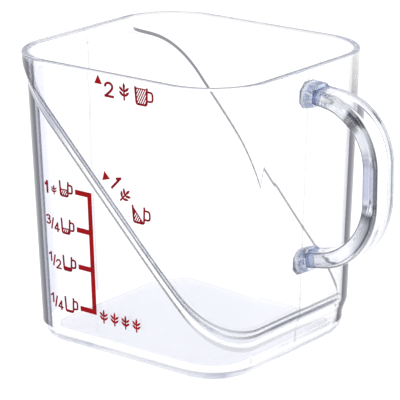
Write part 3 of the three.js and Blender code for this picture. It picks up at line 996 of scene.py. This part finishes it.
    def build_collar(self, name: str, arm: Arm, material: bpy.types.Material) -> bpy.types.Object:
        """Build one faceted collar with a painted cool reflection and a painted dark outline, and let it
        stand for its node.

        Args:
            name: Name of the node that it stands for.
            arm: Arm that it carries.
            material: Clear finish.

        Returns:
            The collar's object.
        """
        bm = bmesh.new()
        cool = bm.verts.layers.float.new(COOL_REFLECTION)
        line = bm.verts.layers.float.new(EDGE_SHADE)
        rounds = self.shape_collar(bm, arm)
        facets = [face for face in bm.faces if face not in rounds]
        for vert in {vert for face in facets for vert in face.verts}:
            vert[cool] = ease(arm.along(vert.co), *self.collar_clear)
        bm.normal_update()
        ends = [face for face in bm.faces if abs(face.normal.dot(arm.way)) > self.collar_end_turn]
        for vert in set(bm.verts) - {vert for face in ends for vert in face.verts}:
            vert[line] = self.collar_outline_line * ease(arm.along(vert.co), *self.collar_outline)
        piece = smooth_piece(name.replace("handle_", "") + "_facets", bm, material)
        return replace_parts(piece, name)

    def build(self, strap: bpy.types.Material, collar: bpy.types.Material) -> None:
        """Build the strap and both collars.

        Args:
            strap: Clear finish of the strap.
            collar: Clear finish of the collars.
        """
        self.build_strap(strap)
        self.build_collar("upper_handle_collar", self.upper, collar)
        self.build_collar("lower_handle_collar", self.lower, collar)


@dataclass
class NodeGroups:
    """Shader node groups that more than one finish uses."""

    flow_detail: float = 1.5
    grain_scale: float = 1800.0
    grain_detail: float = 3.0

    def __post_init__(self) -> None:
        """Build the groups once."""
        self.flow = self._flow_marks()
        self.grain = self._ink_grain()
        self.edges = self._edge_shades()

    @staticmethod
    def _new(name: str, inputs: dict[str, Socket], outputs: dict[str, Socket]) -> bpy.types.NodeTree:
        """Make an empty group with named sockets.

        Args:
            name: Name of the group.
            inputs: Names and kinds of its inputs.
            outputs: Names and kinds of its outputs.

        Returns:
            The group, with its input and output nodes.
        """
        tree = bpy.data.node_groups.new(name, "ShaderNodeTree")
        for socket, kind in inputs.items():
            tree.interface.new_socket(name=socket, in_out="INPUT", socket_type=kind.value)
        for socket, kind in outputs.items():
            tree.interface.new_socket(name=socket, in_out="OUTPUT", socket_type=kind.value)
        tree.nodes.new("NodeGroupInput").name = "in"
        tree.nodes.new("NodeGroupOutput").name = "out"
        return tree

    def _flow_marks(self) -> bpy.types.NodeTree:
        """Build the long faint waves that a moulding keeps from the flow of the melt.

        Returns:
            The group.
        """
        tree = self._new(
            "flow_marks",
            {"Place": Socket.VECTOR, "Scale": Socket.VALUE},
            {"Height": Socket.VALUE},
        )
        noise = tree.nodes.new("ShaderNodeTexNoise")
        noise.inputs["Detail"].default_value = self.flow_detail
        given, out = tree.nodes["in"], tree.nodes["out"]
        tree.links.new(given.outputs["Place"], noise.inputs["Vector"])
        tree.links.new(given.outputs["Scale"], noise.inputs["Scale"])
        tree.links.new(noise.outputs["Fac"], out.inputs["Height"])
        return tree

    def _ink_grain(self) -> bpy.types.NodeTree:
        """Build the fine unevenness of screen-printed ink.

        Returns:
            The group.
        """
        tree = self._new(
            "ink_grain",
            {"Place": Socket.VECTOR, "Deep": Socket.COLOUR, "Thin": Socket.COLOUR},
            {"Colour": Socket.COLOUR, "Height": Socket.VALUE},
        )
        noise = tree.nodes.new("ShaderNodeTexNoise")
        noise.inputs["Scale"].default_value = self.grain_scale
        noise.inputs["Detail"].default_value = self.grain_detail
        mix = tree.nodes.new("ShaderNodeMix")
        mix.data_type = "RGBA"
        given, out = tree.nodes["in"], tree.nodes["out"]
        tree.links.new(given.outputs["Place"], noise.inputs["Vector"])
        tree.links.new(noise.outputs["Fac"], mix.inputs["Factor"])
        tree.links.new(given.outputs["Deep"], mix.inputs["A"])
        tree.links.new(given.outputs["Thin"], mix.inputs["B"])
        tree.links.new(mix.outputs["Result"], out.inputs["Colour"])
        tree.links.new(noise.outputs["Fac"], out.inputs["Height"])
        return tree

    def _edge_shades(self) -> bpy.types.NodeTree:
        """Build the painted shades of slanting walls and moulded edges and the painted cool reflection, over
        the clear colour.

        Returns:
            The group.
        """
        layers = {"Slant": "Turn", "Cool": "Cool Share", "Line": "Line Share"}
        inputs = {"Clear": Socket.COLOUR}
        for colour, share in layers.items():
            inputs |= {colour: Socket.COLOUR, share: Socket.VALUE}
        tree = self._new("edge_shades", inputs, {"Colour": Socket.COLOUR})
        given, out = tree.nodes["in"], tree.nodes["out"]
        below = given.outputs["Clear"]
        for colour, share in layers.items():
            mix = tree.nodes.new("ShaderNodeMix")
            mix.data_type = "RGBA"
            mix.blend_type = "MULTIPLY"
            tree.links.new(given.outputs[share], mix.inputs["Factor"])
            tree.links.new(below, mix.inputs["A"])
            tree.links.new(given.outputs[colour], mix.inputs["B"])
            below = mix.outputs["Result"]
        tree.links.new(below, out.inputs["Colour"])
        return tree


@dataclass(frozen=True)
class ClearFinish:
    """Polished clear plastic with faint flow marks, painted shades and a painted cool reflection."""

    name: str
    tint: Colour
    depth_density: float
    depth_tint: Colour = (0.62, 0.66, 0.84)
    # Colours of the painted dark lines, the painted cool reflection and the painted shade of walls seen at a
    # slant, by facing
    line_tint: Colour = (0.02, 0.022, 0.03)
    cool_reflection: Colour = (0.15, 0.17, 0.36)
    slant_stops: tuple[tuple[float, Colour], ...] = (
        (0.455, (1.0, 1.0, 1.0)), (0.47, (0.045, 0.045, 0.064)), (0.515, (0.045, 0.045, 0.064)),
        (0.53, (0.27, 0.27, 0.32)), (0.57, (0.25, 0.25, 0.3)), (0.588, (0.0006, 0.0006, 0.004)),
        (1.0, (0.0006, 0.0006, 0.004)),
    )
    ior: float = 1.57
    roughness: float = 0.0
    flow_scale: float = 60.0
    flow_height: float = 0.02
    flow_strength: float = 0.05

    def material(self, groups: NodeGroups) -> bpy.types.Material:
        """Build the finish.

        Args:
            groups: Shared node groups.

        Returns:
            The material.
        """
        material = bpy.data.materials.new(self.name)
        material.use_nodes = True
        tree = material.node_tree
        shader = tree.nodes["Principled BSDF"]
        shader.inputs["Roughness"].default_value = self.roughness
        shader.inputs["IOR"].default_value = self.ior
        shader.inputs["Transmission Weight"].default_value = 1.0
        depth = tree.nodes.new("ShaderNodeVolumeAbsorption")
        depth.inputs["Color"].default_value = (*self.depth_tint, 1.0)
        depth.inputs["Density"].default_value = self.depth_density
        tree.links.new(depth.outputs["Volume"], tree.nodes["Material Output"].inputs["Volume"])
        tree.links.new(self._shaded_colour(tree, groups), shader.inputs["Base Color"])
        tree.links.new(self._flow_normal(tree, groups), shader.inputs["Normal"])
        return material

    def _shaded_colour(self, tree: bpy.types.NodeTree, groups: NodeGroups) -> bpy.types.NodeSocket:
        """Add the painted shades of edges and slanting walls and the painted cool reflection.

        Args:
            tree: Nodes of the material.
            groups: Shared node groups.

        Returns:
            The socket of the shaded colour.
        """
        # The facing drives the painted shade of walls seen at a slant
        facing = tree.nodes.new("ShaderNodeLayerWeight")
        ramp = tree.nodes.new("ShaderNodeValToRGB")
        fill_ramp(ramp, self.slant_stops)
        shades = tree.nodes.new("ShaderNodeGroup")
        shades.node_tree = groups.edges
        for socket, colour in (("Clear", self.tint), ("Cool", self.cool_reflection), ("Line", self.line_tint)):
            shades.inputs[socket].default_value = (*colour, 1.0)
        for socket, layer in (("Turn", SLANT_SHADE), ("Cool Share", COOL_REFLECTION), ("Line Share", EDGE_SHADE)):
            share = tree.nodes.new("ShaderNodeAttribute")
            share.attribute_name = layer
            tree.links.new(share.outputs["Fac"], shades.inputs[socket])
        tree.links.new(facing.outputs["Facing"], ramp.inputs["Fac"])
        tree.links.new(ramp.outputs["Color"], shades.inputs["Slant"])
        return shades.outputs["Colour"]

    def _flow_normal(self, tree: bpy.types.NodeTree, groups: NodeGroups) -> bpy.types.NodeSocket:
        """Add the bump of the flow marks.

        Args:
            tree: Nodes of the material.
            groups: Shared node groups.

        Returns:
            The socket of the bumped normal.
        """
        place = tree.nodes.new("ShaderNodeTexCoord")
        flow = tree.nodes.new("ShaderNodeGroup")
        flow.node_tree = groups.flow
        flow.inputs["Scale"].default_value = self.flow_scale
        bump = tree.nodes.new("ShaderNodeBump")
        bump.inputs["Strength"].default_value = self.flow_strength
        bump.inputs["Distance"].default_value = self.flow_height * MM
        tree.links.new(place.outputs["Object"], flow.inputs["Place"])
        tree.links.new(flow.outputs["Height"], bump.inputs["Height"])
        return bump.outputs["Normal"]


@dataclass(frozen=True)
class InkFinish:
    """Screen-printed ink, a little uneven in depth."""

    name: str
    deep: Colour
    thin: Colour
    roughness: float = 0.45
    gloss: float = 0.05
    grain_height: float = 0.02
    grain_strength: float = 0.1

    def material(self, groups: NodeGroups) -> bpy.types.Material:
        """Build the finish.

        Args:
            groups: Shared node groups.

        Returns:
            The material.
        """
        material = bpy.data.materials.new(self.name)
        material.use_nodes = True
        tree = material.node_tree
        shader = tree.nodes["Principled BSDF"]
        shader.inputs["Roughness"].default_value = self.roughness
        shader.inputs["Specular IOR Level"].default_value = self.gloss
        place = tree.nodes.new("ShaderNodeTexCoord")
        grain = tree.nodes.new("ShaderNodeGroup")
        grain.node_tree = groups.grain
        grain.inputs["Deep"].default_value = (*self.deep, 1.0)
        grain.inputs["Thin"].default_value = (*self.thin, 1.0)
        bump = tree.nodes.new("ShaderNodeBump")
        bump.inputs["Strength"].default_value = self.grain_strength
        bump.inputs["Distance"].default_value = self.grain_height * MM
        tree.links.new(place.outputs["Object"], grain.inputs["Place"])
        tree.links.new(grain.outputs["Colour"], shader.inputs["Base Color"])
        tree.links.new(grain.outputs["Height"], bump.inputs["Height"])
        tree.links.new(bump.outputs["Normal"], shader.inputs["Normal"])
        return material


# Clear finishes, whose line and cool colours are painted shade and painted cool reflection
CUP_CLEAR = ClearFinish("cup_clear", tint=(0.985, 0.987, 0.995), depth_density=2.0)
STRAP_CLEAR = ClearFinish(
    "strap_clear", tint=(0.98, 0.985, 0.995), depth_density=15.0, line_tint=(0.003, 0.004, 0.01),
)
COLLAR_CLEAR = ClearFinish(
    "collar_clear", tint=(0.96, 0.97, 0.995), depth_density=10.0, cool_reflection=(0.3, 0.38, 0.58),
)
SCALE_INK = InkFinish("scale_ink", deep=(0.28, 0.001, 0.003), thin=(0.33, 0.0015, 0.005))
FIGURE_INK = InkFinish("figure_ink", deep=(0.2, 0.002, 0.007), thin=(0.26, 0.003, 0.01))


@dataclass
class Print:
    """The ink films of the frame, which keep their shape and get an ink finish."""

    lines: InkFinish
    figures: InkFinish
    line_nodes: tuple[str, ...] = (
        "scale_bracket", "rim_arrow", "ledge_arrow",
        "grain_mark_1", "grain_mark_2", "grain_mark_3", "grain_mark_4",
    )
    clear_nodes: tuple[str, ...] = ("cup_body", "upper_handle_collar", "lower_handle_collar", "handle_grip")

    def dress(self, groups: NodeGroups) -> None:
        """Give every film its ink.

        Args:
            groups: Shared node groups.
        """
        line_ink = self.lines.material(groups)
        figure_ink = self.figures.material(groups)
        for name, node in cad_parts.items():
            if name in self.clear_nodes:
                continue
            node.data.materials.clear()
            node.data.materials.append(line_ink if name in self.line_nodes else figure_ink)
            log.info("%s: inked", name)


@dataclass
class Studio:
    """Pale floor, soft light and the camera at the photograph's place."""

    camera_place: tuple[float, float, float] = (391.99, -489.18, 235.04)
    camera_aim: tuple[float, float, float] = (0.0, 0.0, 39.22)
    camera_roll: float = -0.36
    lens: float = 207.8
    sensor: float = 36.0
    shift: tuple[float, float] = (0.0202, 0.001)
    clip: Span = (10.0, 20000.0)
    floor_size: float = 4000.0
    floor_gap: float = 0.2
    floor_colour: Colour = (0.2, 0.2, 0.2)
    floor_glow: float = 1.1
    sky_strength: float = 1.0
    sky_white: Colour = (1.0, 1.0, 1.0)
    sky_grey: Colour = (0.9, 0.91, 0.95)
    sky_belt: tuple[float, float, float, float] = (0.12, 0.3, 0.62, 0.75)
    light_bounces: int = 128

    def build(self) -> None:
        """Build the floor, the light and the camera."""
        self._floor()
        self._sky()
        self._camera()
        scene = bpy.context.scene
        scene.view_settings.view_transform = "Standard"
        scene.cycles.max_bounces = self.light_bounces
        scene.cycles.transmission_bounces = self.light_bounces
        scene.cycles.glossy_bounces = self.light_bounces

    def _floor(self) -> None:
        """Lay a plain pale floor just under the cup."""
        bm = bmesh.new()
        bmesh.ops.create_grid(bm, x_segments=1, y_segments=1, size=self.floor_size / 2 * MM)
        bmesh.ops.translate(bm, verts=bm.verts, vec=Vector((0.0, 0.0, -self.floor_gap * MM)))
        mesh = bpy.data.meshes.new("floor")
        bm.to_mesh(mesh)
        bm.free()
        material = bpy.data.materials.new("pale_floor")
        material.use_nodes = True
        shader = material.node_tree.nodes["Principled BSDF"]
        shader.inputs["Base Color"].default_value = (*self.floor_colour, 1.0)
        shader.inputs["Roughness"].default_value = 1.0
        shader.inputs["Specular IOR Level"].default_value = 0.0
        shader.inputs["Emission Color"].default_value = (1.0, 1.0, 1.0, 1.0)
        shader.inputs["Emission Strength"].default_value = self.floor_glow
        mesh.materials.append(material)
        floor = bpy.data.objects.new("floor", mesh)
        bpy.context.scene.collection.objects.link(floor)

    def _sky(self) -> None:
        """Set a white surround with a cool grey belt between the horizon and the top light."""
        world = bpy.data.worlds.new("studio")
        world.use_nodes = True
        tree = world.node_tree
        background = tree.nodes["Background"]
        background.inputs["Strength"].default_value = self.sky_strength
        place = tree.nodes.new("ShaderNodeTexCoord")
        split = tree.nodes.new("ShaderNodeSeparateXYZ")
        ramp = tree.nodes.new("ShaderNodeValToRGB")
        white, grey = self.sky_white, self.sky_grey
        fill_ramp(ramp, ((0.0, white), *zip(self.sky_belt, (white, grey, grey, white))))
        tree.links.new(place.outputs["Generated"], split.inputs["Vector"])
        tree.links.new(split.outputs["Z"], ramp.inputs["Fac"])
        tree.links.new(ramp.outputs["Color"], background.inputs["Color"])
        bpy.context.scene.world = world

    def _camera(self) -> None:
        """Set the camera at the photograph's viewing angle."""
        data = bpy.data.cameras.new("camera")
        data.lens = self.lens
        data.sensor_width = self.sensor
        data.shift_x, data.shift_y = self.shift
        data.clip_start, data.clip_end = (distance * MM for distance in self.clip)
        camera = bpy.data.objects.new("camera", data)
        place = Vector(self.camera_place) * MM
        turn = (Vector(self.camera_aim) * MM - place).to_track_quat("-Z", "Y")
        roll = Matrix.Rotation(math.radians(self.camera_roll), 4, "Z")
        camera.matrix_world = Matrix.Translation(place) @ turn.to_matrix().to_4x4() @ roll
        bpy.context.scene.collection.objects.link(camera)
        bpy.context.scene.camera = camera


def main() -> None:
    """Build the cup, its handle, its print and the studio."""
    logging.basicConfig(level=logging.INFO, format="%(name)s %(message)s")
    groups = NodeGroups()
    cup = CupShell()
    cup.build(CUP_CLEAR.material(groups))
    Handle(cup).build(strap=STRAP_CLEAR.material(groups), collar=COLLAR_CLEAR.material(groups))
    Print(lines=SCALE_INK, figures=FIGURE_INK).dress(groups)
    Studio().build()


if __name__ == "__main__":
    main()
